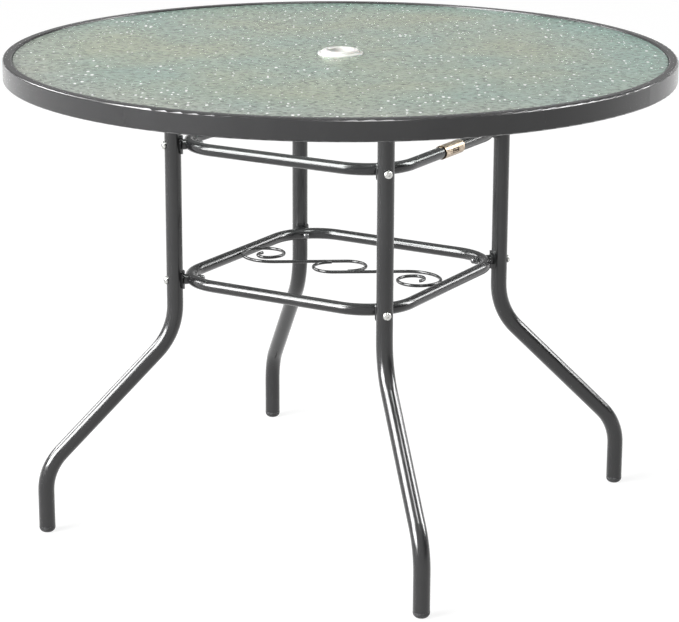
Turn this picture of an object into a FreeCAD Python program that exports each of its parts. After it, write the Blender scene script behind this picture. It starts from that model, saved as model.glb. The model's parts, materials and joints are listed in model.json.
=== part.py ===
import FreeCAD, Part
import math
import os

import Sketcher
from FreeCAD import Placement, Rotation, Vector

# Round glass patio table with an umbrella hole, in millimetres.
# +Z is up and the origin is on the floor under the middle of the top.
# The legs stand on the diagonals, so the ring bars run along X and Y.

SIZES = {
    # top
    "table_height": 730,
    "top_radius": 508,
    "rim_height": 31.5,
    "rim_flange": 14,
    "rim_wall": 1.5,
    "rim_return": 8,
    "rim_corner": 3,
    "rim_bend": 2,
    "ledge_width": 14,
    "ledge_hem": 6,
    "glass_sink": 2,
    "glass_thickness": 5,
    "glass_gap": 1,
    "glass_edge": 1,
    # umbrella ring
    "pole_radius": 20,
    "hub_radius": 25,
    "hub_gap": 0.4,
    "hub_depth": 18,
    "flange_radius": 34.5,
    "flange_edge": 2.5,
    "flange_rise": 6.5,
    "flange_round": 1.2,
    "collar_radius": 28,
    "collar_round": 2,
    "collar_fillet": 1,
    # legs
    "leg_radius": 12.5,
    "leg_wall": 1.2,
    "leg_circle": 260,
    "foot_circle": 466,
    "ankle_height": 102,
    "shin_slant": 45,
    "arm_height": 708,
    "ankle_bend": 85,
    "knee_bend": 105,
    "shoulder_bend": 50,
    "arm_round": 420,
    "arm_flat": 455,
    "arm_reach": 484,
    "tab_width": 36,
    "tab_thickness": 5,
    # feet
    "cap_height": 10,
    "cap_dome": 8,
    "cap_stem": 20,
    "stem_gap": 0.1,
    # rings
    "tube_radius": 9,
    "tube_wall": 1.2,
    "ring_side": 187,
    "ring_corner": 75,
    "upper_ring": 600,
    "lower_ring": 390,
    # saddles between ring corners and legs
    "seat_gap": 0.05,
    "saddle_wall": 3,
    "saddle_height": 27,
    "saddle_angle": 104,
    "saddle_round": 6,
    "pad_radius": 8,
    "pad_depth": 6,
    "pad_root": 2.7,
    # ring bolts and cap nuts
    "bolt_radius": 3,
    "bolt_hole": 3.25,
    "thread_chamfer": 0.6,
    "head_radius": 6.2,
    "head_height": 4,
    "head_dome": 3,
    "socket_radius": 2.3,
    "socket_depth": 2,
    "thread_gap": 0.05,
    "nut_gap": 0.35,
    "nut_radius": 5.8,
    "nut_height": 5,
    "nut_length": 11,
    "cap_radius": 4.7,
    "nut_dome": 4,
    "nut_grip": 8,
    # rim lugs and their screws
    "lug_wall": 2.5,
    "lug_bend": 2,
    "lug_angle": 3.8,
    "lug_high": 726,
    "lug_reach": 458,
    "lug_bolt": 470,
    "screw_tip": 720,
    # scrolls
    "wire_radius": 2.5,
    "wire_rise": 4.3,
    "scroll_slant": 33.1,
    "loop_radius": 30,
    "loop_offset": 11,
    "curl_first": 49.7,
    "curl_second": 34.7,
    "curl_third": 31.4,
    "curl_fourth": 26.1,
    "curl_fifth": 15.7,
    "curl_last": 16.8,
    "curl_end": 59,
    # joint sleeve on the upper ring
    "sleeve_length": 57,
    "sleeve_middle": 5,
    "sleeve_wall": 1.5,
    "sleeve_slot": 3,
    "window_length": 30,
    "window_height": 10,
    "window_depth": 0.8,
    "bead_width": 3.6,
    "bead_height": 8,
    "bead_corner": 1.7,
    "bead_round": 1,
    "bead_rise": 0.5,
    "bead_place": 12.4,
    "ridge_half": 8.5,
    "ridge_width": 1.6,
    "ridge_place": 1.9,
    "ridge_rise": 0.6,
    "ridge_slope": 0.5,
}

CORNERS = {"front_right": -45, "back_right": 45, "back_left": 135, "front_left": 225}
LEVELS = ("upper", "lower")
CURL = (("first", -1, 1), ("second", 1, 1), ("third", 1, -1), ("fourth", -1, -1), ("fifth", -1, 1))
ROOT_TWO = math.sqrt(2)
NEAR = 1e-4


class Size:
    """A length with the sheet expression behind it, so that sketches can be bound to it."""

    def __init__(self, text, value):
        self.text = text
        self.value = float(value)

    def join(self, sign, other, value):
        text = other.text if isinstance(other, Size) else repr(other)
        return Size(f"({self.text} {sign} {text})", value)

    def __add__(self, other):
        return self.join("+", other, self.value + number(other))

    def __radd__(self, other):
        return self + other

    def __sub__(self, other):
        return self.join("-", other, self.value - number(other))

    def __mul__(self, other):
        return self.join("*", other, self.value * number(other))

    def __truediv__(self, other):
        return self.join("/", other, self.value / number(other))


def number(item):
    return item.value if isinstance(item, Size) else float(item)


def size(name):
    return Size(f"Sizes.{name}", SIZES[name])


def root(item):
    return Size(f"sqrt({item.text})", math.sqrt(item.value))


def sine(angle):
    return Size(f"sin({angle.text} * 1 deg)", math.sin(math.radians(angle.value)))


def cosine(angle):
    return Size(f"cos({angle.text} * 1 deg)", math.cos(math.radians(angle.value)))


def tangent(angle):
    return Size(f"tan({angle.text} * 1 deg)", math.tan(math.radians(angle.value)))


def make_sheet(doc):
    sheet = doc.addObject("Spreadsheet::Sheet", "Sizes")
    for row, (name, value) in enumerate(SIZES.items(), start=1):
        sheet.set(f"A{row}", name)
        sheet.set(f"B{row}", str(value))
        sheet.setAlias(f"B{row}", name)
    doc.recompute()


def bind(target, path, item):
    if isinstance(item, Size):
        target.setExpression(path, item.text)


def new_body(doc, label, turn=0):
    """A body in a leg's own frame, with X outwards, turned about Z to its place."""
    body = doc.addObject("PartDesign::Body", label)
    body.Label = label
    body.Placement = Placement(Vector(), Rotation(Vector(0, 0, 1), turn))
    return body


def origin_part(body, role):
    for feature in body.Origin.OriginFeatures:
        if feature.Role == role:
            return feature
    raise ValueError(role)


def new_sketch(body, name, plane, shift=(0, 0, 0), turn=0):
    """A sketch on one of the body's planes, shifted in the plane and along its normal."""
    sketch = body.newObject("Sketcher::SketchObject", name)
    sketch.AttachmentSupport = (origin_part(body, plane), [""])
    sketch.MapMode = "FlatFace"
    base = Vector(*[number(item) for item in shift])
    sketch.AttachmentOffset = Placement(base, Rotation(Vector(0, 1, 0), turn))
    for axis, item in zip("xyz", shift):
        bind(sketch, f"AttachmentOffset.Base.{axis}", item)
    return sketch


def hold(sketch, kind, geometry, vertex, item):
    """Hold one coordinate of a vertex at a size, or on the sketch's axis when it is zero."""
    if abs(number(item)) < NEAR:
        axis = {"DistanceX": -2, "DistanceY": -1}[kind]
        sketch.addConstraint(Sketcher.Constraint("PointOnObject", geometry, vertex, axis))
        return
    value = number(item)
    index = sketch.addConstraint(Sketcher.Constraint(kind, -1, 1, geometry, vertex, value))
    bind(sketch, f"Constraints[{index}]", item)


def pin(sketch, geometry, vertex, point):
    hold(sketch, "DistanceX", geometry, vertex, point[0])
    hold(sketch, "DistanceY", geometry, vertex, point[1])


def set_radius(sketch, geometry, radius):
    index = sketch.addConstraint(Sketcher.Constraint("Radius", geometry, number(radius)))
    bind(sketch, f"Constraints[{index}]", radius)


def add_circle(sketch, radius, centre=(0, 0)):
    middle = Vector(number(centre[0]), number(centre[1]), 0)
    circle = Part.Circle(middle, Vector(0, 0, 1), number(radius))
    index = sketch.addGeometry(circle, False)
    if middle.Length < NEAR:
        sketch.addConstraint(Sketcher.Constraint("Coincident", index, 3, -1, 1))
    else:
        pin(sketch, index, 3, centre)
    set_radius(sketch, index, radius)


def add_arc(sketch, begin, end, radius):
    """An arc between two points; it turns left where the radius is positive."""
    chord = end - begin
    bulge = number(radius) - math.copysign(1, number(radius)) * math.sqrt(
        number(radius) ** 2 - chord.Length ** 2 / 4)
    side = Vector(chord.y, -chord.x, 0).normalize()
    peak = (begin + end) / 2 + side * bulge
    arc = sketch.addGeometry(Part.Arc(begin, peak, end), False)
    if number(radius) > 0:
        set_radius(sketch, arc, radius)
        return arc, 1, 2
    set_radius(sketch, arc, radius * -1)
    return arc, 2, 1


def draw_chain(sketch, nodes, closed=True):
    """Edges through held points. A node is x, y and, where an arc follows it, its radius."""
    points = [Vector(number(node[0]), number(node[1]), 0) for node in nodes]
    count = len(nodes)
    edges = []
    for k in range(count if closed else count - 1):
        end = points[(k + 1) % count]
        if len(nodes[k]) > 2:
            edges.append(add_arc(sketch, points[k], end, nodes[k][2]))
        else:
            edges.append((sketch.addGeometry(Part.LineSegment(points[k], end), False), 1, 2))
    for k, (edge, first, _) in enumerate(edges):
        pin(sketch, edge, first, nodes[k])
        if closed or k > 0:
            before, _, last = edges[k - 1]
            sketch.addConstraint(Sketcher.Constraint("Coincident", before, last, edge, first))
    if not closed:
        edge, _, last = edges[-1]
        pin(sketch, edge, last, nodes[-1])


def towards(corner, other, distance):
    """The point at a distance from a corner, along a level or upright edge."""
    across = number(other[0]) - number(corner[0])
    if abs(across) > NEAR:
        return corner[0] + distance * math.copysign(1, across), corner[1]
    up = number(other[1]) - number(corner[1])
    return corner[0], corner[1] + distance * math.copysign(1, up)


def draw(sketch, corners):
    """A closed outline. A corner is x, y and, where it is round, its radius."""
    nodes = []
    for k, corner in enumerate(corners):
        if len(corner) < 3:
            nodes.append(corner)
            continue
        before = corners[k - 1]
        after = corners[(k + 1) % len(corners)]
        into = [number(corner[i]) - number(before[i]) for i in (0, 1)]
        out = [number(after[i]) - number(corner[i]) for i in (0, 1)]
        turn = math.copysign(1, into[0] * out[1] - into[1] * out[0])
        nodes.append((*towards(corner, before, corner[2]), corner[2] * turn))
        nodes.append(towards(corner, after, corner[2]))
    draw_chain(sketch, nodes)


def draw_box(sketch, low, high):
    draw(sketch, [(low[0], low[1]), (high[0], low[1]), (high[0], high[1]), (low[0], high[1])])


def draw_hexagon(sketch, radius):
    corners = []
    for k in range(6):
        angle = math.radians(60 * k)
        corners.append((radius * round(math.cos(angle), 6), radius * round(math.sin(angle), 6)))
    draw(sketch, corners)


def revolve(body, sketch, name, axis="V_Axis", angle=None, groove=False):
    turned = body.newObject("PartDesign::Groove" if groove else "PartDesign::Revolution", name)
    turned.Profile = sketch
    turned.ReferenceAxis = (sketch, [axis])
    turned.Angle = number(angle) if angle else 360
    if angle:
        turned.Midplane = True
        bind(turned, "Angle", angle)
    return turned


def pad(body, sketch, length, name):
    block = body.newObject("PartDesign::Pad", name)
    block.Profile = sketch
    block.Length = number(length)
    bind(block, "Length", length)
    return block


def cut_down(body, sketch, depth, name):
    """A pocket of a given depth, against the sketch's normal."""
    pocket = body.newObject("PartDesign::Pocket", name)
    pocket.Profile = sketch
    pocket.Length = number(depth)
    bind(pocket, "Length", depth)
    return pocket


def cut_through(body, sketch, name):
    """A pocket through everything, both ways from the sketch."""
    pocket = body.newObject("PartDesign::Pocket", name)
    pocket.Profile = sketch
    pocket.Type = "ThroughAll"
    pocket.SideType = "Symmetric"
    return pocket


def sweep(body, section, path, name, kind="AdditivePipe"):
    pipe = body.newObject(f"PartDesign::{kind}", name)
    pipe.Profile = section
    pipe.Spine = (path, [])
    return pipe


def repeat_on_corners(body, features):
    """Four copies of the body's features, a quarter turn apart."""
    pattern = body.newObject("PartDesign::PolarPattern", "Corners")
    pattern.Originals = features
    pattern.Axis = (origin_part(body, "Z_Axis"), [""])
    pattern.Angle = 360
    pattern.Occurrences = len(CORNERS)
    body.Tip = pattern


def dress(body, kind, name, base, amount_name, amount, chosen):
    """Fillet or chamfer the edges of a feature that a test picks."""
    body.Document.recompute()
    edges = [f"Edge{k}" for k, edge in enumerate(base.Shape.Edges, start=1) if chosen(edge)]
    dressed = body.newObject(f"PartDesign::{kind}", name)
    dressed.Base = (base, edges)
    bind(dressed, amount_name, amount)


def ring_reach():
    """Distance from the middle to a ring corner's tube axis, along the diagonal."""
    return corner_centre() + size("ring_corner")


def corner_centre():
    """Distance from the middle to the centre of a ring corner's bend."""
    return (size("ring_side") - size("ring_corner")) * ROOT_TWO


def glass_face():
    return size("table_height") - size("glass_sink")


def tab_top():
    return size("arm_height") + size("tab_thickness") / 2


def lug_top():
    return tab_top() + size("seat_gap") + size("lug_wall")


def nut_seat():
    """Where a cap nut stops, inside a ring corner."""
    return ring_reach() - size("tube_radius") - size("nut_gap")


def make_glass(doc):
    """Tempered glass disc with a hole in the middle and ground edges."""
    body = new_body(doc, "glass_top")
    low = glass_face() - size("glass_thickness")
    sketch = new_sketch(body, "GlassOutline", "XY_Plane", (0, 0, low))
    add_circle(sketch, size("top_radius") - size("rim_flange") - size("glass_gap"))
    add_circle(sketch, size("hub_radius") + size("hub_gap"))
    disc = pad(body, sketch, size("glass_thickness"), "GlassDisc")
    dress(body, "Chamfer", "GroundEdges", disc, "Size", size("glass_edge"),
          lambda edge: isinstance(edge.Curve, Part.Circle))


def make_rim(doc):
    """Rolled rim: outer band, narrow top face, and a stepped ledge that carries the glass."""
    body = new_body(doc, "table_rim")
    wall = size("rim_wall")
    bend = size("rim_bend")
    top = size("table_height")
    low = top - size("rim_height")
    outer = size("top_radius")
    inner = outer - size("rim_flange")
    lip = outer - size("rim_return")
    ledge = glass_face() - size("glass_thickness")
    hem = ledge - size("ledge_hem")
    end = inner - size("ledge_width")
    sketch = new_sketch(body, "RimSection", "XZ_Plane")
    draw(sketch, [
        (outer, low, bend), (outer, top, size("rim_corner")), (inner, top, bend),
        (inner, ledge), (end, ledge, bend), (end, hem), (end + wall, hem),
        (end + wall, ledge - wall), (inner + wall, ledge - wall), (inner + wall, top - wall),
        (outer - wall, top - wall, size("rim_corner") - wall), (outer - wall, low + wall),
        (lip, low + wall), (lip, low)])
    revolve(body, sketch, "RolledRim")


def make_umbrella_ring(doc):
    """Plastic ring: a stepped flange on the glass and a hub down through its hole."""
    body = new_body(doc, "umbrella_ring")
    face = glass_face()
    pole = size("pole_radius")
    hub = size("hub_radius")
    low = face - size("hub_depth")
    edge = face + size("flange_edge")
    top = face + size("flange_rise")
    collar = size("collar_radius")
    sketch = new_sketch(body, "RingSection", "XZ_Plane")
    draw(sketch, [
        (pole, low), (hub, low), (hub, face), (size("flange_radius"), face),
        (size("flange_radius"), edge, size("flange_round")), (collar, edge, size("collar_fillet")),
        (collar, top, size("collar_round")), (pole, top, size("flange_round"))])
    revolve(body, sketch, "RingTurned")


def draw_round_end(sketch, radius):
    """A circle of six arcs, one for each edge of the flat section that it blends into."""
    side = radius / ROOT_TWO
    less = side * -1
    draw_chain(sketch, [
        (less, less, radius), (side, less, radius), (radius, 0, radius),
        (side, side, radius), (less, side, radius), (radius * -1, 0, radius)])


def draw_flat_end(sketch, width, thickness):
    """The section of the flattened tube: two flats closed by half rounds."""
    half = thickness / 2
    low = half * -1
    flat = width / 2 - half
    left = flat * -1
    draw_chain(sketch, [
        (left, low), (flat, low, half), (width / 2, 0, half),
        (flat, half), (left, half, half), (width / -2, 0, half)])


def draw_leg_path(sketch):
    """Centre line of a leg: up from the foot, in along the shin, up, and out along the arm."""
    foot = size("foot_circle")
    stand = size("leg_circle")
    ankle = size("ankle_height")
    arm = size("arm_height")
    slant = size("shin_slant")
    knee = ankle + (foot - stand) / tangent(slant)
    low = size("ankle_bend")
    mid = size("knee_bend")
    high = size("shoulder_bend")
    low_cut = low * tangent(slant / 2)
    mid_cut = mid * tangent(slant / 2)
    draw_chain(sketch, [
        (foot, size("cap_height")),
        (foot, ankle - low_cut, low),
        (foot - low_cut * sine(slant), ankle + low_cut * cosine(slant)),
        (stand + mid_cut * sine(slant), knee - mid_cut * cosine(slant), mid * -1),
        (stand, knee + mid_cut),
        (stand, arm - high, high * -1),
        (stand + high, arm),
        (size("arm_round"), arm)], closed=False)


def make_leg(doc, corner, turn):
    """Bent tube: foot, slanting shin, upright, and an arm under the glass with a flat end."""
    body = new_body(doc, f"leg_{corner}", turn)
    foot = size("foot_circle")
    stand = size("leg_circle")
    arm = size("arm_height")
    outer = size("leg_radius")
    path = new_sketch(body, "CentreLine", "XZ_Plane")
    draw_leg_path(path)
    section = new_sketch(body, "TubeSection", "XY_Plane", (foot, 0, size("cap_height")))
    add_circle(section, outer)
    add_circle(section, outer - size("leg_wall"))
    sweep(body, section, path, "BentTube")
    near = new_sketch(body, "RoundEnd", "YZ_Plane", (0, arm, size("arm_round")))
    draw_round_end(near, outer)
    far = new_sketch(body, "FlatEnd", "YZ_Plane", (0, arm, size("arm_flat")))
    draw_flat_end(far, size("tab_width"), size("tab_thickness"))
    blend = body.newObject("PartDesign::AdditiveLoft", "Flattening")
    blend.Profile = near
    blend.Sections = [far]
    flat = new_sketch(body, "TabSection", "YZ_Plane", (0, arm, size("arm_flat")))
    draw_flat_end(flat, size("tab_width"), size("tab_thickness"))
    pad(body, flat, size("arm_reach") - size("arm_flat"), "Tab")
    holes = new_sketch(body, "RingBoltHoles", "YZ_Plane", (0, 0, stand))
    for level in LEVELS:
        add_circle(holes, size("bolt_hole"), (0, size(f"{level}_ring")))
    cut_through(body, holes, "RingBoltPocket")
    hole = new_sketch(body, "LugHole", "XY_Plane", (size("lug_bolt"), 0, arm + outer))
    add_circle(hole, size("bolt_hole"))
    cut_down(body, hole, outer * 2, "LugPocket")


def make_foot_cap(doc, corner, turn):
    """Domed cap under a foot, with a stem up into the tube."""
    body = new_body(doc, f"foot_cap_{corner}", turn)
    radius = size("leg_radius")
    stem = radius - size("leg_wall") - size("stem_gap")
    height = size("cap_height")
    sketch = new_sketch(body, "CapSection", "XZ_Plane", (size("foot_circle"), 0, 0))
    draw(sketch, [
        (0, 0), (radius, 0, size("cap_dome")), (radius, height), (stem, height),
        (stem, height + size("cap_stem")), (0, height + size("cap_stem"))])
    revolve(body, sketch, "CapTurned")


def make_ring(doc, level):
    """Square ring of tube with round corners, drilled through each corner."""
    body = new_body(doc, f"{level}_ring")
    side = size("ring_side")
    corner = size("ring_corner")
    height = size(f"{level}_ring")
    radius = size("tube_radius")
    path = new_sketch(body, "CentreLine", "XY_Plane", (0, 0, height))
    draw(path, [(side, side * -1, corner), (side, side, corner),
                (side * -1, side, corner), (side * -1, side * -1, corner)])
    place = (side, height, side - corner)
    outside = new_sketch(body, "OuterSection", "XZ_Plane", place)
    add_circle(outside, radius)
    sweep(body, outside, path, "BentTube")
    inside = new_sketch(body, "InnerSection", "XZ_Plane", place)
    add_circle(inside, radius - size("tube_wall"))
    sweep(body, inside, path, "TubeBore", "SubtractivePipe")
    for turn, name in ((45, "FirstHoles"), (-45, "SecondHoles")):
        holes = new_sketch(body, f"{name}Sketch", "XZ_Plane", (0, height, 0), turn)
        add_circle(holes, size("bolt_hole"))
        cut_through(body, holes, name)


def make_saddle(doc, level, corner, turn):
    """Curved plate round the leg, with a round pad that cradles the ring's corner."""
    body = new_body(doc, f"{level}_saddle_{corner}", turn)
    stand = size("leg_circle")
    height = size(f"{level}_ring")
    gap = size("seat_gap")
    inner = size("leg_radius") + gap
    wall = size("saddle_wall")
    half = size("saddle_height") / 2
    plate = new_sketch(body, "PlateSection", "XZ_Plane", (stand, height, 0))
    draw_box(plate, ((inner + wall) * -1, half * -1), (inner * -1, half))
    bent = revolve(body, plate, "Plate", angle=size("saddle_angle"))
    dress(body, "Fillet", "PlateCorners", bent, "Radius", size("saddle_round"),
          lambda edge: isinstance(edge.Curve, Part.Line) and abs(edge.Length - wall.value) < NEAR)
    start = ring_reach() + size("tube_radius") - size("pad_depth")
    round_pad = new_sketch(body, "PadSection", "YZ_Plane", (0, height, start))
    add_circle(round_pad, size("pad_radius"))
    pad(body, round_pad, stand - inner - wall - start + size("pad_root"), "Pad")
    groove = new_sketch(body, "CornerSection", "XZ_Plane", (corner_centre(), height, 0))
    add_circle(groove, size("tube_radius") + gap, (size("ring_corner"), 0))
    revolve(body, groove, "CornerSeat", groove=True)
    hole = new_sketch(body, "BoltHole", "YZ_Plane", (0, height, stand))
    add_circle(hole, size("bolt_hole"))
    cut_through(body, hole, "BoltPocket")


def make_ring_bolts(doc, level):
    """Button head bolts, pointing inwards through leg, saddle and ring corner."""
    body = new_body(doc, f"{level}_ring_bolts", 45)
    height = size(f"{level}_ring")
    shank = size("bolt_radius")
    chamfer = size("thread_chamfer")
    tip = nut_seat() - size("nut_grip")
    seat = size("leg_circle") + size("leg_radius") + size("seat_gap")
    top = seat + size("head_height")
    head = size("head_radius")
    sketch = new_sketch(body, "BoltSection", "XZ_Plane", (0, height, 0))
    draw(sketch, [
        (tip, 0), (tip, shank - chamfer), (tip + chamfer, shank), (seat, shank),
        (seat, head), (top, head, size("head_dome")), (top, 0)])
    bolt = revolve(body, sketch, "BoltTurned", "H_Axis")
    hexagon = new_sketch(body, "SocketSection", "YZ_Plane", (0, height, top))
    draw_hexagon(hexagon, size("socket_radius"))
    socket = cut_down(body, hexagon, size("socket_depth"), "Socket")
    repeat_on_corners(body, [bolt, socket])


def make_ring_nuts(doc, level):
    """Domed cap nuts on the bolt ends, inside the ring corners."""
    body = new_body(doc, f"{level}_ring_nuts", 45)
    height = size(f"{level}_ring")
    seat = nut_seat()
    flat = seat - size("nut_height")
    tip = seat - size("nut_length")
    hexagon = new_sketch(body, "NutSection", "YZ_Plane", (0, height, flat))
    draw_hexagon(hexagon, size("nut_radius"))
    block = pad(body, hexagon, size("nut_height"), "NutHexagon")
    section = new_sketch(body, "DomeSection", "XZ_Plane", (0, height, 0))
    draw(section, [(tip, 0), (flat, 0), (flat, size("cap_radius")),
                   (tip, size("cap_radius"), size("nut_dome"))])
    dome = revolve(body, section, "Dome", "H_Axis")
    thread = new_sketch(body, "ThreadHole", "YZ_Plane", (0, height, seat))
    add_circle(thread, size("bolt_radius") + size("thread_gap"))
    bore = cut_down(body, thread, size("nut_grip") + size("thread_chamfer"), "ThreadPocket")
    repeat_on_corners(body, [block, dome, bore])


def make_rim_lug(doc, corner, turn):
    """Bent bracket inside the rim: one flange welded to the band, one over the leg's tab."""
    body = new_body(doc, f"rim_lug_{corner}", turn)
    wall = size("lug_wall")
    bend = size("lug_bend")
    outer = size("top_radius") - size("rim_wall") - size("seat_gap")
    low = tab_top() + size("seat_gap")
    high = size("lug_high")
    reach = size("lug_reach")
    sketch = new_sketch(body, "LugSection", "XZ_Plane")
    draw(sketch, [
        (reach, low), (outer, low, bend + wall), (outer, high), (outer - wall, high),
        (outer - wall, low + wall, bend), (reach, low + wall)])
    revolve(body, sketch, "Lug", angle=size("lug_angle"))
    hole = new_sketch(body, "ScrewHole", "XY_Plane", (size("lug_bolt"), 0, high))
    add_circle(hole, size("bolt_hole"))
    cut_through(body, hole, "ScrewPocket")


def make_rim_screws(doc):
    """Screws up through the leg tabs and the lugs, heads underneath."""
    body = new_body(doc, "rim_screws", 45)
    shank = size("bolt_radius")
    chamfer = size("thread_chamfer")
    seat = size("arm_height") - size("tab_thickness") / 2 - size("seat_gap")
    low = seat - size("head_height")
    tip = size("screw_tip")
    head = size("head_radius")
    sketch = new_sketch(body, "ScrewSection", "XZ_Plane", (size("lug_bolt"), 0, 0))
    draw(sketch, [
        (0, low), (head, low, size("head_dome")), (head, seat), (shank, seat),
        (shank, tip - chamfer), (shank - chamfer, tip), (0, tip)])
    screw = revolve(body, sketch, "ScrewTurned")
    repeat_on_corners(body, [screw])


def make_rim_nuts(doc):
    """Hexagon nuts on the screws, on top of the lugs."""
    body = new_body(doc, "rim_nuts", 45)
    low = lug_top() + size("seat_gap")
    sketch = new_sketch(body, "NutSection", "XY_Plane", (size("lug_bolt"), 0, low))
    draw_hexagon(sketch, size("nut_radius"))
    add_circle(sketch, size("bolt_radius") + size("thread_gap"))
    nut = pad(body, sketch, size("nut_height"), "NutHexagon")
    repeat_on_corners(body, [nut])


def straight_offset():
    """Distance of each straight run from the middle, so that each hook lies beside the other."""
    return size("loop_radius") + size("wire_radius") + size("seat_gap") / 2


def curl_distance():
    """Distance from the middle to where the curl begins, along the straight run.

    It brings the curl's second arc against the ring's side bar, whose tube lies a little lower.
    """
    reach = size("tube_radius") + size("wire_radius") + size("seat_gap")
    rise = size("wire_rise")
    slant = size("scroll_slant")
    shrink = size("curl_first") - size("curl_second")
    edge = size("ring_side") - root(reach * reach - rise * rise) - size("curl_second")
    up = straight_offset() + size("curl_first")
    return (edge - up * sine(slant)) / cosine(slant) - shrink


def draw_scroll(sketch):
    """Centre line of a scroll: a hook, a straight run, and a curl of shrinking quarter turns."""
    high = straight_offset()
    hook = size("loop_radius")
    begin = size("loop_offset")
    x = curl_distance() * -1
    y = high
    nodes = [(begin, high - hook * 2, hook), (begin + hook, high - hook, hook), (begin, high)]
    for name, across, up in CURL:
        radius = size(f"curl_{name}")
        nodes.append((x, y, radius * -1))
        x = x + radius * across
        y = y + radius * up
    radius = size("curl_last")
    end = size("curl_end")
    nodes.append((x, y, radius * -1))
    nodes.append((x + radius - radius * cosine(end), y + radius * sine(end)))
    draw_chain(sketch, nodes, closed=False)


def make_scroll(doc, side, turn):
    """One scroll of round bar, lying on the lower ring's tube."""
    body = new_body(doc, f"scroll_{side}", turn)
    height = size("lower_ring") + size("wire_rise")
    path = new_sketch(body, "CentreLine", "XY_Plane", (0, 0, height))
    draw_scroll(path)
    tip = straight_offset() - size("loop_radius") * 2
    section = new_sketch(body, "BarSection", "YZ_Plane", (tip, height, size("loop_offset")))
    add_circle(section, size("wire_radius"))
    sweep(body, section, path, "BentBar")


def make_clip(doc):
    """Split sleeve over the upper ring's joint, with a sunken window between two beads."""
    body = new_body(doc, "ring_clip")
    side = size("ring_side")
    height = size("upper_ring")
    wall = size("sleeve_wall")
    inner = size("tube_radius") + size("seat_gap")
    outer = inner + wall
    half = size("sleeve_length") / 2
    middle = size("sleeve_middle")
    window = size("window_length") / 2
    tall = size("window_height") / 2
    sketch = new_sketch(body, "SleeveSection", "YZ_Plane", (middle, height, side))
    draw_box(sketch, (half * -1, inner), (half, outer))
    revolve(body, sketch, "Sleeve", "H_Axis")
    slot = new_sketch(body, "SlotSection", "XZ_Plane", (side, height, middle * -1))
    slot_half = size("sleeve_slot") / 2
    draw_box(slot, ((outer + wall) * -1, slot_half * -1), ((inner - wall) * -1, slot_half))
    cut_through(body, slot, "Slot")
    frame = new_sketch(body, "WindowOutline", "YZ_Plane", (middle, height, side + outer))
    draw_box(frame, (window * -1, tall * -1), (window, tall))
    cut_down(body, frame, size("window_depth"), "Window")
    floor = side + outer - size("window_depth")
    add_raised(body, "Ridges", floor, ridge_outlines(), size("ridge_rise"),
               "Chamfer", "Size", size("ridge_slope"))
    add_raised(body, "Beads", floor, bead_outlines(), size("window_depth") + size("bead_rise"),
               "Fillet", "Radius", size("bead_round"))


def bead_outlines():
    """Two upright ovals, one at each end of the clip's window."""
    wide = size("bead_width") / 2
    tall = size("bead_height") / 2
    corner = size("bead_corner")
    outlines = []
    for across in (size("bead_place") * -1, size("bead_place")):
        outlines.append([(across - wide, tall * -1, corner), (across + wide, tall * -1, corner),
                         (across + wide, tall, corner), (across - wide, tall, corner)])
    return outlines


def ridge_outlines():
    """Two long bars, side by side along the clip's window."""
    half = size("ridge_half")
    wide = size("ridge_width") / 2
    outlines = []
    for up in (size("ridge_place") * -1, size("ridge_place")):
        outlines.append([(half * -1, up - wide), (half, up - wide),
                         (half, up + wide), (half * -1, up + wide)])
    return outlines


def add_raised(body, name, floor, outlines, rise, kind, amount_name, amount):
    """Raised shapes on the window's floor, rooted in the sleeve's wall, with dressed tops."""
    sink = size("sleeve_wall") / 3
    sketch = new_sketch(body, f"{name}Outline", "YZ_Plane",
                        (size("sleeve_middle"), size("upper_ring"), floor - sink))
    for outline in outlines:
        draw(sketch, outline)
    raised = pad(body, sketch, rise + sink, name)
    top = (floor + rise).value
    dress(body, kind, f"{name}Edge", raised, amount_name, amount,
          lambda edge: abs(edge.BoundBox.XMin - top) < NEAR)


def check(doc, bodies):
    failed = [item.Label for item in doc.Objects
              if "Invalid" in item.State or "Error" in item.State]
    if failed:
        raise RuntimeError(f"failed: {failed}")
    for body in bodies:
        if body.Shape.isNull() or not body.Shape.isValid():
            raise RuntimeError(f"{body.Label}: bad shape")


def main():
    doc = FreeCAD.newDocument("UmbrellaTable")
    make_sheet(doc)
    make_glass(doc)
    make_rim(doc)
    make_umbrella_ring(doc)
    for corner, turn in CORNERS.items():
        make_leg(doc, corner, turn)
        make_foot_cap(doc, corner, turn)
        make_rim_lug(doc, corner, turn)
        for level in LEVELS:
            make_saddle(doc, level, corner, turn)
    for level in LEVELS:
        make_ring(doc, level)
        make_ring_bolts(doc, level)
        make_ring_nuts(doc, level)
    make_rim_screws(doc)
    make_rim_nuts(doc)
    make_scroll(doc, "left", SIZES["scroll_slant"])
    make_scroll(doc, "right", SIZES["scroll_slant"] + 180)
    make_clip(doc)
    doc.recompute()
    bodies = [item for item in doc.Objects if item.TypeId == "PartDesign::Body"]
    check(doc, bodies)
    os.makedirs("parts", exist_ok=True)
    for body in bodies:
        body.Shape.exportStep(f"parts/{body.Label}.step")
        solids = len(body.Shape.Solids)
        print(f"{body.Label}: {solids} solid(s), {body.Shape.Volume / 1000:.2f} cm3")


main()
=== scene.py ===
import json
import math

import bpy
from mathutils import Matrix, Vector

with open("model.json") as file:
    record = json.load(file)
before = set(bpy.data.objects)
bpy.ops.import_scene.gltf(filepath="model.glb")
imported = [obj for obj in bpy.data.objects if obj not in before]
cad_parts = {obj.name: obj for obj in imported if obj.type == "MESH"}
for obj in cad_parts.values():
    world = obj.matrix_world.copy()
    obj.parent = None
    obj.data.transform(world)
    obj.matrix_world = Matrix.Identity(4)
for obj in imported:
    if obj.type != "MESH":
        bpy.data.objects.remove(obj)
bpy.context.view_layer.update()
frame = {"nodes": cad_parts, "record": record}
nodes = frame["nodes"]
print("frame loaded:", len(nodes), "nodes")

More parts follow.
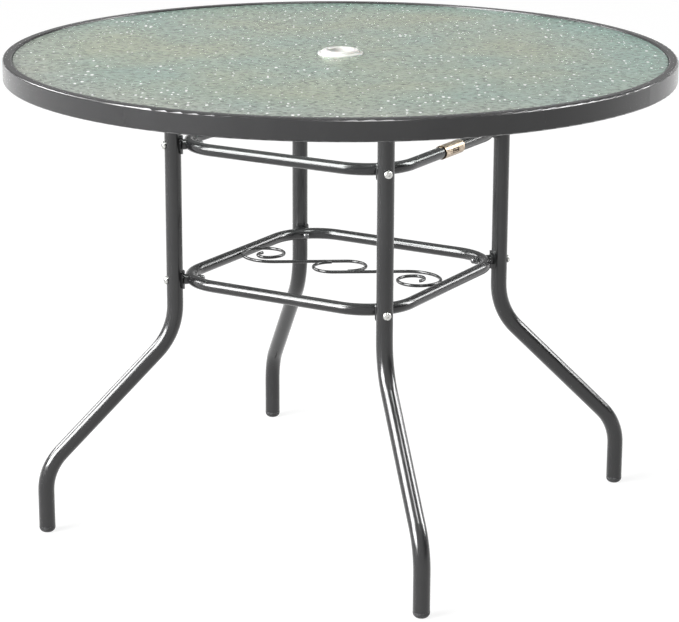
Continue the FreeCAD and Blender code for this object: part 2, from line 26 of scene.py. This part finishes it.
millimetre = 0.001  # the scene is in metres
noiseMiddle = 0.5  # a noise runs from 0 to 1 and swings about this

# a Mix node has sockets of the same names for four kinds of value, so those for colours go by number
mixShare = 0
mixFirst = 6
mixSecond = 7
mixResult = 2


def repeats(sizeMm):
    # a pattern's scale, which is how many of its details fit in a metre
    return 1 / (sizeMm * millimetre)


def inMetres(sizesMm):
    return [size * millimetre for size in sizesMm]


def hexColour(code):
    # sRGB hex to the linear colour that the shader sockets take, by the standard curve
    channels = [int(code[i:i + 2], 16) / 255 for i in (1, 3, 5)]
    linear = [c / 12.92 if c <= 0.04045 else ((c + 0.055) / 1.055) ** 2.4 for c in channels]
    return (*linear, 1.0)


def newMaterial(name):
    material = bpy.data.materials.new(name)
    material.use_nodes = True
    material.node_tree.nodes.clear()
    return material


def addNode(owner, kind, values=None, feeds=None, **settings):
    # one shader node with its settings, its socket values and what feeds it
    # a socket goes by its name, or by its number where the node has several of that name
    node = owner.node_tree.nodes.new(kind)
    for name, value in settings.items():
        setattr(node, name, value)
    for socket, value in (values or {}).items():
        node.inputs[socket].default_value = value
    for socket, source in (feeds or {}).items():
        owner.node_tree.links.new(source, node.inputs[socket])
    return node


def setStops(ramp, stops):
    # colour ramp stops as (position, hex colour)
    elements = ramp.color_ramp.elements
    while len(elements) < len(stops):
        elements.new(0.5)  # between the two ends, and moved below
    for element, (position, code) in zip(elements, stops):
        element.position = position
        element.color = hexColour(code)


# powder coat on steel: charcoal polyester with a little metal flake, sprayed and baked
# gives the eye a satin dark grey with a tight white streak and a faint orange peel
powderCoat = {
    "colours": [(0.3, "#262627"), (0.7, "#2f2f30")],
    "cloudMm": 70,
    "cloudDetail": 4,
    "peelMm": 2.5,
    "peelDetail": 1,
    "peelDepthMm": 0.02,
    "peelBump": 0.5,
    "speckMm": 0.9,  # real flakes are under 0.1 mm, and too fine to show in the render
    "speckDetail": 2,
    "roughness": (0.17, 0.25),
    "metallic": 0.15,
    "ior": 1.5,
    "coat": 0.25,
    "coatRoughness": 0.08,
}


def makePowderCoat(name, look):
    coat = newMaterial(name)
    place = addNode(coat, "ShaderNodeTexCoord").outputs["Object"]
    cloud = addNode(coat, "ShaderNodeTexNoise",
                    {"Scale": repeats(look["cloudMm"]), "Detail": look["cloudDetail"]}, {"Vector": place})
    colour = addNode(coat, "ShaderNodeValToRGB", feeds={"Fac": cloud.outputs["Fac"]})
    setStops(colour, look["colours"])
    speck = addNode(coat, "ShaderNodeTexNoise",
                    {"Scale": repeats(look["speckMm"]), "Detail": look["speckDetail"]}, {"Vector": place})
    rough = addNode(coat, "ShaderNodeMapRange",
                    {"To Min": look["roughness"][0], "To Max": look["roughness"][1]},
                    {"Value": speck.outputs["Fac"]})
    peel = addNode(coat, "ShaderNodeTexNoise",
                   {"Scale": repeats(look["peelMm"]), "Detail": look["peelDetail"]}, {"Vector": place})
    bump = addNode(coat, "ShaderNodeBump",
                   {"Strength": look["peelBump"], "Distance": look["peelDepthMm"] * millimetre},
                   {"Height": peel.outputs["Fac"]})
    paint = addNode(coat, "ShaderNodeBsdfPrincipled",
                    {"Metallic": look["metallic"], "IOR": look["ior"], "Coat Weight": look["coat"],
                     "Coat Roughness": look["coatRoughness"]},
                    {"Base Color": colour.outputs["Color"], "Roughness": rough.outputs["Result"],
                     "Normal": bump.outputs["Normal"]})
    addNode(coat, "ShaderNodeOutputMaterial", feeds={"Surface": paint.outputs["BSDF"]})
    return coat


# pebbled tempered glass: rolled between patterned rollers, so one face is all small domes
# gives the eye a cloudy grey green, short ripples, and white glints on single pebbles; the ripples' shade
# and light, the glints and the light at the edge are painted into the colour
pebbledGlass = {
    "rollTurn": 30,  # degrees from the X axis to the way that the glass was rolled
    "stretch": 1.7,  # pebbles and ripples are longer that way
    "pebbleMm": 5.5,
    "pebbleSmoothness": 0.5,
    "warpMm": 25,  # bends the rows of pebbles
    "warpDetail": 2,
    "rippleMm": 4,
    "rippleDetail": 2,
    "rippleShare": (0.4, 1.2),  # in calm patches and in lively ones
    "patchMm": 110,
    "patchDetail": 1,
    "patchReach": (0.42, 0.58),  # values of the patch noise that are calm and lively
    "depthMm": 0.6,
    "bump": 0.9,
    # painted shade and light of the relief, dark at the pebbles' middles and light in the gaps
    "colours": [(0.13, "#727b73"), (0.37, "#9ea59d"), (0.59, "#c9cfc7")],  # from pebble middles to gaps
    "cloudMm": 240,
    "cloudDetail": 3,
    "tints": [(0.36, "#cee1dc"), (0.64, "#e0e4d2")],  # green clouds and warm ones
    # painted light at the edge of the glass: warmer at the front and greener at the back
    "frontEdgeLight": "#e3e0df",
    "backEdgeLight": "#c2eee8",
    "edgeTurnMm": (-350, 350),  # along Y, from the front edge's painted light to the back edge's
    "edgeRadiiMm": (380, 500),  # where the edge's tint begins and where it is full
    "edgeShare": 0.65,
    # the glints are painted highlights: white spots in the colour for lamps mirrored by single pebbles
    "glint": "#ffffff",
    "glintCellMm": (8.5, 18),  # along the way of the rollers and across it, one glint to a cell
    "glintFree": 0.38,  # share of the cells that have none
    "glintSize": 0.29,  # radius of the largest, as a share of its cell
    "glintReach": (0.62, 0.42),  # values of the cloud noise where glints are small and full size
    "glintShrink": 0.6,  # how much of their size the small ones keep
    "clear": "#fafcfb",  # what the light takes on that passes straight through
    "ior": 1.52,
    "roughness": 0.2,
    "transmission": 0.2,
}


def drawPebbles(glass, look, place):
    # the relief: smooth cells in bent rows, and ripples that come and go in patches
    turned = (0.0, 0.0, math.radians(look["rollTurn"]))
    rolled = addNode(glass, "ShaderNodeMapping", {"Rotation": turned, "Scale": (look["stretch"], 1.0, 1.0)},
                     {"Vector": place}, vector_type="TEXTURE").outputs["Vector"]
    warp = addNode(glass, "ShaderNodeTexNoise",
                   {"Scale": repeats(look["warpMm"]), "Detail": look["warpDetail"]}, {"Vector": rolled})
    wander = addNode(glass, "ShaderNodeVectorMath", {1: (noiseMiddle,) * 3}, {0: warp.outputs["Color"]},
                     operation="SUBTRACT")
    bent = addNode(glass, "ShaderNodeVectorMath", {1: inMetres([look["pebbleMm"]] * 3)},
                   {0: wander.outputs["Vector"], 2: rolled}, operation="MULTIPLY_ADD")
    pebble = addNode(glass, "ShaderNodeTexVoronoi",
                     {"Scale": repeats(look["pebbleMm"]), "Smoothness": look["pebbleSmoothness"]},
                     {"Vector": bent.outputs["Vector"]}, feature="SMOOTH_F1")
    ripple = addNode(glass, "ShaderNodeTexNoise",
                     {"Scale": repeats(look["rippleMm"]), "Detail": look["rippleDetail"]},
                     {"Vector": rolled})
    patch = addNode(glass, "ShaderNodeTexNoise",
                    {"Scale": repeats(look["patchMm"]), "Detail": look["patchDetail"]}, {"Vector": place})
    swell = addNode(glass, "ShaderNodeMapRange",
                    {"From Min": look["patchReach"][0], "From Max": look["patchReach"][1],
                     "To Min": look["rippleShare"][0], "To Max": look["rippleShare"][1]},
                    {"Value": patch.outputs["Fac"]})
    swing = addNode(glass, "ShaderNodeMath", {1: noiseMiddle}, {0: ripple.outputs["Fac"]},
                    operation="SUBTRACT")
    relief = addNode(glass, "ShaderNodeMath",
                     feeds={0: swing.outputs["Value"], 1: swell.outputs["Result"],
                            2: pebble.outputs["Distance"]}, operation="MULTIPLY_ADD")
    return relief.outputs["Value"]


def drawPaintedShadeAndTints(glass, look, place, relief, cloud):
    # the relief's painted shade and light, under a tint of clouds, with painted light towards the edge,
    # warm at the front and green at the back
    # painted shade and light: the pebbles' middles are painted dark and the gaps between them light
    colour = addNode(glass, "ShaderNodeValToRGB", feeds={"Fac": relief})
    setStops(colour, look["colours"])
    zone = addNode(glass, "ShaderNodeValToRGB", feeds={"Fac": cloud})
    setStops(zone, look["tints"])
    # the distance from the table's middle, without the height
    level = addNode(glass, "ShaderNodeVectorMath", {1: (1.0, 1.0, 0.0)}, {0: place}, operation="MULTIPLY")
    radius = addNode(glass, "ShaderNodeVectorMath", feeds={0: level.outputs["Vector"]}, operation="LENGTH")
    edgeRadii = inMetres(look["edgeRadiiMm"])
    margin = addNode(glass, "ShaderNodeMapRange",
                     {"From Min": edgeRadii[0], "From Max": edgeRadii[1], "To Max": look["edgeShare"]},
                     {"Value": radius.outputs["Value"]})
    depth = addNode(glass, "ShaderNodeSeparateXYZ", feeds={"Vector": place})
    edgeTurn = inMetres(look["edgeTurnMm"])
    turn = addNode(glass, "ShaderNodeMapRange", {"From Min": edgeTurn[0], "From Max": edgeTurn[1]},
                   {"Value": depth.outputs["Y"]})
    # painted light at the edge, warm at the front and green at the back
    edge = addNode(glass, "ShaderNodeMix",
                   {mixFirst: hexColour(look["frontEdgeLight"]), mixSecond: hexColour(look["backEdgeLight"])},
                   {mixShare: turn.outputs["Result"]}, data_type="RGBA")
    tintAndEdgeLight = addNode(glass, "ShaderNodeMix",
                   feeds={mixShare: margin.outputs["Result"], mixFirst: zone.outputs["Color"],
                          mixSecond: edge.outputs[mixResult]}, data_type="RGBA")
    shadedAndTinted = addNode(glass, "ShaderNodeMix", {mixShare: 1.0},
                      {mixFirst: colour.outputs["Color"], mixSecond: tintAndEdgeLight.outputs[mixResult]},
                      data_type="RGBA", blend_type="MULTIPLY")
    return shadedAndTinted.outputs[mixResult]


def drawPaintedGlints(glass, look, place, cloud):
    # 1 inside a painted glint and 0 outside: a white spot painted as a highlight in the middle of a cell,
    #                                         of a size that the cell draws by lot
    turned = (0.0, 0.0, math.radians(look["rollTurn"]))
    spread = addNode(glass, "ShaderNodeMapping",
                     {"Rotation": turned, "Scale": (*inMetres(look["glintCellMm"]), 1.0)},
                     {"Vector": place}, vector_type="TEXTURE")
    # the cells have their size from the Mapping node, so their own scale is 1
    cell = addNode(glass, "ShaderNodeTexVoronoi", {"Scale": 1.0}, {"Vector": spread.outputs["Vector"]})
    chance = addNode(glass, "ShaderNodeSeparateColor", feeds={"Color": cell.outputs["Color"]})
    lot = addNode(glass, "ShaderNodeMapRange", {"From Min": look["glintFree"], "To Max": look["glintSize"]},
                  {"Value": chance.outputs["Red"]})
    crowd = addNode(glass, "ShaderNodeMapRange",
                    {"From Min": look["glintReach"][0], "From Max": look["glintReach"][1],
                     "To Min": look["glintShrink"]}, {"Value": cloud})
    size = addNode(glass, "ShaderNodeMath", feeds={0: lot.outputs["Result"], 1: crowd.outputs["Result"]},
                   operation="MULTIPLY")
    paintedGlintMask = addNode(glass, "ShaderNodeMath", feeds={0: cell.outputs["Distance"], 1: size.outputs["Value"]},
                   operation="LESS_THAN")
    return paintedGlintMask.outputs["Value"]


def letLightThrough(glass, look, surface):
    # lamplight, and its reflection in the tubes below, passes straight through as through a thin pane
    # a refracted ray counts as glossy too, so it is taken off
    path = addNode(glass, "ShaderNodeLightPath")
    mirrored = addNode(glass, "ShaderNodeMath",
                       feeds={0: path.outputs["Is Glossy Ray"], 1: path.outputs["Is Transmission Ray"]},
                       operation="SUBTRACT")
    passing = addNode(glass, "ShaderNodeMath",
                      feeds={0: path.outputs["Is Shadow Ray"], 1: mirrored.outputs["Value"]},
                      operation="MAXIMUM")
    clear = addNode(glass, "ShaderNodeBsdfTransparent", {"Color": hexColour(look["clear"])})
    lit = addNode(glass, "ShaderNodeMixShader",
                  feeds={0: passing.outputs["Value"], 1: surface, 2: clear.outputs["BSDF"]})
    return lit.outputs["Shader"]


def makePebbledGlass(name, look):
    glass = newMaterial(name)
    place = addNode(glass, "ShaderNodeTexCoord").outputs["Object"]
    cloud = addNode(glass, "ShaderNodeTexNoise",
                    {"Scale": repeats(look["cloudMm"]), "Detail": look["cloudDetail"]}, {"Vector": place})
    relief = drawPebbles(glass, look, place)
    paintedShadeAndTints = drawPaintedShadeAndTints(glass, look, place, relief, cloud.outputs["Fac"])
    paintedGlintMask = drawPaintedGlints(glass, look, place, cloud.outputs["Fac"])
    bump = addNode(glass, "ShaderNodeBump",
                   {"Strength": look["bump"], "Distance": look["depthMm"] * millimetre}, {"Height": relief})
    body = addNode(glass, "ShaderNodeBsdfPrincipled",
                   {"IOR": look["ior"], "Roughness": look["roughness"],
                    "Transmission Weight": look["transmission"]},
                   {"Base Color": paintedShadeAndTints, "Normal": bump.outputs["Normal"]})
    # painted highlight: a white surface inside each glint
    paintedGlint = addNode(glass, "ShaderNodeBsdfPrincipled",
                     {"Base Color": hexColour(look["glint"]), "IOR": look["ior"],
                      "Roughness": look["roughness"]})
    both = addNode(glass, "ShaderNodeMixShader",
                   feeds={0: paintedGlintMask, 1: body.outputs["BSDF"], 2: paintedGlint.outputs["BSDF"]})
    addNode(glass, "ShaderNodeOutputMaterial",
            feeds={"Surface": letLightThrough(glass, look, both.outputs["Shader"])})
    return glass


# polypropylene, injection moulded: milky white with a slight gloss
# gives the eye a bright soft ring with faint flow marks
mouldedWhite = {
    "colours": [(0.3, "#dfdfdb"), (0.65, "#f0f0ec")],
    "flowMm": 14,
    "flowDetail": 3,
    "flowCurl": 0.6,
    "grainMm": 0.6,  # the real grain is about 0.1 mm, and too fine to show in the render
    "grainDepthMm": 0.02,
    "grainBump": 0.4,
    "roughness": 0.36,
    "ior": 1.49,
    "scatter": 0.08,
    "scatterMm": 2,
}

# polyethylene, injection moulded: charcoal, duller than the coat
# gives the eye feet that match the legs but hold no streak
mouldedCharcoal = {
    "colours": [(0.3, "#363637"), (0.65, "#424243")],
    "flowMm": 12,
    "flowDetail": 3,
    "flowCurl": 0.6,
    "grainMm": 0.8,  # coarser than the real one for the same reason
    "grainDepthMm": 0.03,
    "grainBump": 0.4,
    "roughness": 0.5,
    "ior": 1.5,
    "scatter": 0,
    "scatterMm": 2,
}


def makeMouldedPlastic(name, look):
    plastic = newMaterial(name)
    place = addNode(plastic, "ShaderNodeTexCoord").outputs["Object"]
    flow = addNode(plastic, "ShaderNodeTexNoise",
                   {"Scale": repeats(look["flowMm"]), "Detail": look["flowDetail"],
                    "Distortion": look["flowCurl"]}, {"Vector": place})
    colour = addNode(plastic, "ShaderNodeValToRGB", feeds={"Fac": flow.outputs["Fac"]})
    setStops(colour, look["colours"])
    grain = addNode(plastic, "ShaderNodeTexNoise", {"Scale": repeats(look["grainMm"])}, {"Vector": place})
    bump = addNode(plastic, "ShaderNodeBump",
                   {"Strength": look["grainBump"], "Distance": look["grainDepthMm"] * millimetre},
                   {"Height": grain.outputs["Fac"]})
    body = addNode(plastic, "ShaderNodeBsdfPrincipled",
                   {"IOR": look["ior"], "Roughness": look["roughness"],
                    "Subsurface Weight": look["scatter"],
                    "Subsurface Scale": look["scatterMm"] * millimetre},
                   {"Base Color": colour.outputs["Color"], "Normal": bump.outputs["Normal"]})
    addNode(plastic, "ShaderNodeOutputMaterial", feeds={"Surface": body.outputs["BSDF"]})
    return plastic


# bright zinc plate on steel, for the bolts and screws: gives the eye pale heads with an uneven gloss
# real polishing marks are about 0.1 mm, too fine to show in the render, so all metals have coarser ones
brightZinc = {
    "colours": [(0.3, "#b9b9b6"), (0.7, "#dededb")],
    "grainMm": 1.2,
    "roughness": (0.16, 0.32),
}

# black nickel plate on steel, for the cap nuts: gives the eye dark domes with a soft shine
blackNickel = {
    "colours": [(0.3, "#444445"), (0.7, "#7c7c7d")],
    "grainMm": 1.5,
    "roughness": (0.18, 0.34),
}

# brass sheet, rolled into a sleeve and polished: gives the eye a pale warm tube with a dark window, where
# the shade in the sunken window is painted
paleBrass = {
    "colours": [(0.3, "#a18c73"), (0.7, "#dbccbb")],
    "grainMm": 2.5,
    "roughness": (0.24, 0.38),
    "windowShade": "#3d3022",  # painted shade, dark in the sunken window of the sleeve
    "axisMm": (187.1, 0, 600),  # a point on the sleeve's axis, which runs along Y
    "windowShadeRadiiMm": (10.2, 10.42),  # from the window's floor to the sleeve's outside
}

# what the three metals share
platedGrain = {"detail": 3, "bump": 0.3, "depthMm": 0.02}


def addPaintedWindowShade(metal, look, place, tone):
    # painted shade in the sunken window: the window is told from the rest by how far the surface is from
    # the sleeve's axis, without Y
    fromAxis = addNode(metal, "ShaderNodeVectorMath", {1: inMetres(look["axisMm"])}, {0: place},
                       operation="SUBTRACT")
    across = addNode(metal, "ShaderNodeVectorMath", {1: (1.0, 0.0, 1.0)}, {0: fromAxis.outputs["Vector"]},
                     operation="MULTIPLY")
    radius = addNode(metal, "ShaderNodeVectorMath", feeds={0: across.outputs["Vector"]}, operation="LENGTH")
    radii = inMetres(look["windowShadeRadiiMm"])
    proud = addNode(metal, "ShaderNodeMapRange", {"From Min": radii[0], "From Max": radii[1]},
                    {"Value": radius.outputs["Value"]})
    windowShaded = addNode(metal, "ShaderNodeMix", {mixFirst: hexColour(look["windowShade"])},
                   {mixShare: proud.outputs["Result"], mixSecond: tone}, data_type="RGBA")
    return windowShaded.outputs[mixResult]


def makePlatedMetal(name, look):
    metal = newMaterial(name)
    place = addNode(metal, "ShaderNodeTexCoord").outputs["Object"]
    grain = addNode(metal, "ShaderNodeTexNoise",
                    {"Scale": repeats(look["grainMm"]), "Detail": platedGrain["detail"]}, {"Vector": place})
    colour = addNode(metal, "ShaderNodeValToRGB", feeds={"Fac": grain.outputs["Fac"]})
    setStops(colour, look["colours"])
    tone = colour.outputs["Color"]
    if "windowShade" in look:
        tone = addPaintedWindowShade(metal, look, place, tone)
    rough = addNode(metal, "ShaderNodeMapRange",
                    {"To Min": look["roughness"][0], "To Max": look["roughness"][1]},
                    {"Value": grain.outputs["Fac"]})
    bump = addNode(metal, "ShaderNodeBump",
                   {"Strength": platedGrain["bump"], "Distance": platedGrain["depthMm"] * millimetre},
                   {"Height": grain.outputs["Fac"]})
    body = addNode(metal, "ShaderNodeBsdfPrincipled", {"Metallic": 1.0},
                   {"Base Color": tone, "Roughness": rough.outputs["Result"],
                    "Normal": bump.outputs["Normal"]})
    addNode(metal, "ShaderNodeOutputMaterial", feeds={"Surface": body.outputs["BSDF"]})
    return metal


# the record gives each piece a slot, and each slot has one finish
finishes = {
    "glass": makePebbledGlass("pebbledGlass", pebbledGlass),
    "frame_metal": makePowderCoat("charcoalPowderCoat", powderCoat),
    "white_plastic": makeMouldedPlastic("whitePolypropylene", mouldedWhite),
    "cap_plastic": makeMouldedPlastic("charcoalPolyethylene", mouldedCharcoal),
    "bright_steel": makePlatedMetal("brightZincPlate", brightZinc),
    "dark_steel": makePlatedMetal("blackNickelPlate", blackNickel),
    "brass": makePlatedMetal("paleBrassSleeve", paleBrass),
}
for part in frame["record"]["subparts"]:
    for slot in nodes[part["node"]].material_slots:
        slot.material = finishes[part["material_slot"]]
print("finishes assigned:", len(finishes))


# the studio, in metres: a floor that shows pale, a grey back wall, a white front wall and ceiling
# the walls are the world's colours by direction: backWall from level (0) to straight up (1)
studio = {
    "floorSize": 60,
    "floorColour": "#858585",  # what the lamps light, beside the floor's own glow
    "floorGlow": (0.84, 1.02),  # round the table and far away, for the camera, gloss and glass alone
    "glowRadii": (4, 14),
    "backWall": [(0.05, "#ffffff"), (0.15, "#949494"), (0.42, "#8c8c8c"), (0.75, "#f2f2f2")],
    "frontWall": "#ffffff",
    "frontReach": (0, -0.6),  # the direction's Y, from where the front wall begins to where it is full
    "ambient": "#626262",  # what the room gives to matt surfaces
    "lampDistance": 7,
    "lampHeight": 0.6,  # of the point that all lamps and cards face
}


def makeFloor(look):
    floor = newMaterial("studioFloor")
    place = addNode(floor, "ShaderNodeTexCoord").outputs["Object"]
    away = addNode(floor, "ShaderNodeVectorMath", feeds={0: place}, operation="LENGTH")
    glow = addNode(floor, "ShaderNodeMapRange",
                   {"From Min": look["glowRadii"][0], "From Max": look["glowRadii"][1],
                    "To Min": look["floorGlow"][0], "To Max": look["floorGlow"][1]},
                   {"Value": away.outputs["Value"]})
    path = addNode(floor, "ShaderNodeLightPath")
    direct = addNode(floor, "ShaderNodeMath",
                     feeds={0: path.outputs["Is Camera Ray"], 1: path.outputs["Is Glossy Ray"]},
                     operation="MAXIMUM")
    seen = addNode(floor, "ShaderNodeMath",
                   feeds={0: direct.outputs["Value"], 1: path.outputs["Is Transmission Ray"]},
                   operation="MAXIMUM")
    strength = addNode(floor, "ShaderNodeMath",
                       feeds={0: glow.outputs["Result"], 1: seen.outputs["Value"]}, operation="MULTIPLY")
    matt = addNode(floor, "ShaderNodeBsdfDiffuse", {"Color": hexColour(look["floorColour"])})
    light = addNode(floor, "ShaderNodeEmission", feeds={"Strength": strength.outputs["Value"]})
    both = addNode(floor, "ShaderNodeAddShader",
                   feeds={0: matt.outputs["BSDF"], 1: light.outputs["Emission"]})
    addNode(floor, "ShaderNodeOutputMaterial", feeds={"Surface": both.outputs["Shader"]})
    bpy.ops.object.select_all(action="DESELECT")
    bpy.ops.mesh.primitive_plane_add(size=look["floorSize"])
    plane = bpy.context.object
    plane.name = "studioFloorPlane"
    plane.data.materials.append(floor)


def makeWorld(look):
    world = bpy.data.worlds.new("greyStudio")
    world.use_nodes = True
    world.node_tree.nodes.clear()
    direction = addNode(world, "ShaderNodeTexCoord").outputs["Generated"]
    ray = addNode(world, "ShaderNodeSeparateXYZ", feeds={"Vector": direction})
    back = addNode(world, "ShaderNodeValToRGB", feeds={"Fac": ray.outputs["Z"]})
    setStops(back, look["backWall"])
    front = addNode(world, "ShaderNodeMapRange",
                    {"From Min": look["frontReach"][0], "From Max": look["frontReach"][1]},
                    {"Value": ray.outputs["Y"]})
    room = addNode(world, "ShaderNodeMix", {mixSecond: hexColour(look["frontWall"])},
                   {mixShare: front.outputs["Result"], mixFirst: back.outputs["Color"]}, data_type="RGBA")
    path = addNode(world, "ShaderNodeLightPath")
    shade = addNode(world, "ShaderNodeMix", {mixSecond: hexColour(look["ambient"])},
                    {mixShare: path.outputs["Is Diffuse Ray"], mixFirst: room.outputs[mixResult]},
                    data_type="RGBA")
    sky = addNode(world, "ShaderNodeBackground", feeds={"Color": shade.outputs[mixResult]})
    addNode(world, "ShaderNodeOutputWorld", feeds={"Surface": sky.outputs["Background"]})
    bpy.context.scene.world = world


def placeAround(look):
    # a place at the lamps' distance, and the turn that makes it face the table
    # azimuth is 0 at the front and grows to the right, and elevation is above the level
    turn = math.radians(look["azimuth"])
    rise = math.radians(look["elevation"])
    towards = Vector((math.sin(turn) * math.cos(rise), -math.cos(turn) * math.cos(rise), math.sin(rise)))
    place = towards * studio["lampDistance"] + Vector((0, 0, studio["lampHeight"]))
    return place, towards.to_track_quat("Z", "Y").to_euler()


# soft boxes give the plain level of light, and the gloss cards only the streaks in paint and metal
softBoxes = {
    "longSoftBox": {"azimuth": -34, "elevation": 20, "width": 6.8, "height": 3, "radiance": 10},
    "tallSoftBox": {"azimuth": -28, "elevation": 48, "width": 3, "height": 3.4, "radiance": 9},
    "backSoftBox": {"azimuth": 140, "elevation": 25, "width": 2.4, "height": 3, "radiance": 9},
}
glossCards = {
    "longGlossCard": {"azimuth": -33, "elevation": 20, "width": 4.4, "height": 3, "radiance": 28},
    "tallGlossCard": {"azimuth": -35, "elevation": 45, "width": 2.4, "height": 3.2, "radiance": 25},
    "leftGlossCard": {"azimuth": -84, "elevation": 24, "width": 4.6, "height": 1.7, "radiance": 16},
    "topGlossCard": {"azimuth": 64, "elevation": 68, "width": 1.6, "height": 1.6, "radiance": 22},
    "backGlossCard": {"azimuth": 134, "elevation": 30, "width": 2, "height": 4, "radiance": 20},
    "stripGlossCard": {"azimuth": 154, "elevation": 23.5, "width": 0.9, "height": 3.2, "radiance": 12},
}


def makeSoftBox(name, look):
    place, facing = placeAround(look)
    bpy.ops.object.select_all(action="DESELECT")
    bpy.ops.object.light_add(type="AREA", location=place, rotation=facing)
    box = bpy.context.object
    box.name = name
    box.data.shape = "RECTANGLE"
    box.data.size = look["width"]
    box.data.size_y = look["height"]
    # a lamp's power is its radiance times its area, and times pi for the half sphere that it lights
    box.data.energy = look["radiance"] * math.pi * look["width"] * look["height"]
    box.visible_glossy = False


def makeGlossCard(name, look):
    # a plane that only reflected rays can meet, so it lights nothing matt and casts no shadow
    place, facing = placeAround(look)
    paper = newMaterial(name)
    paper.cycles.emission_sampling = "NONE"
    light = addNode(paper, "ShaderNodeEmission", {"Strength": look["radiance"]})
    addNode(paper, "ShaderNodeOutputMaterial", feeds={"Surface": light.outputs["Emission"]})
    bpy.ops.object.select_all(action="DESELECT")
    bpy.ops.mesh.primitive_plane_add(size=1, location=place, rotation=facing)
    card = bpy.context.object
    card.name = name
    card.scale = (look["width"], look["height"], 1)
    card.data.materials.append(paper)
    for ray in ("camera", "diffuse", "transmission", "shadow"):
        setattr(card, "visible_" + ray, False)


makeFloor(studio)
makeWorld(studio)
print("floor and walls ready")
for name, look in softBoxes.items():
    makeSoftBox(name, look)
for name, look in glossCards.items():
    makeGlossCard(name, look)
print("soft boxes and gloss cards placed:", len(softBoxes) + len(glossCards))


# camera: three quarters from the front right, a long lens from standing height
view = {
    "azimuth": 30.37,  # degrees to the right of the front
    "distance": 3.6908,  # metres from the table's middle, along the floor
    "height": 1.376,  # metres from the floor
    "pitch": 15.93,  # degrees down from level
    "roll": 0.22,
    "focalPixels": 2461.25,
    "imageWidth": 679,
    "farthest": 200,  # metres, past the far end of the floor
}


def makeCamera(look):
    turn = math.radians(look["azimuth"])
    bpy.ops.object.camera_add()
    camera = bpy.context.object
    camera.name = "productCamera"
    camera.data.lens = look["focalPixels"] / look["imageWidth"] * camera.data.sensor_width
    camera.data.clip_end = look["farthest"]
    place = Vector((math.sin(turn), -math.cos(turn), 0)) * look["distance"] + Vector((0, 0, look["height"]))
    # an unturned camera looks straight down, and 90 degrees bring it level
    aim = (Matrix.Rotation(turn, 4, "Z") @ Matrix.Rotation(math.radians(90 - look["pitch"]), 4, "X")
           @ Matrix.Rotation(math.radians(look["roll"]), 4, "Z"))
    camera.matrix_world = Matrix.Translation(place) @ aim
    bpy.context.scene.camera = camera


makeCamera(view)
bpy.context.scene.view_settings.view_transform = "Standard"
print("camera ready")
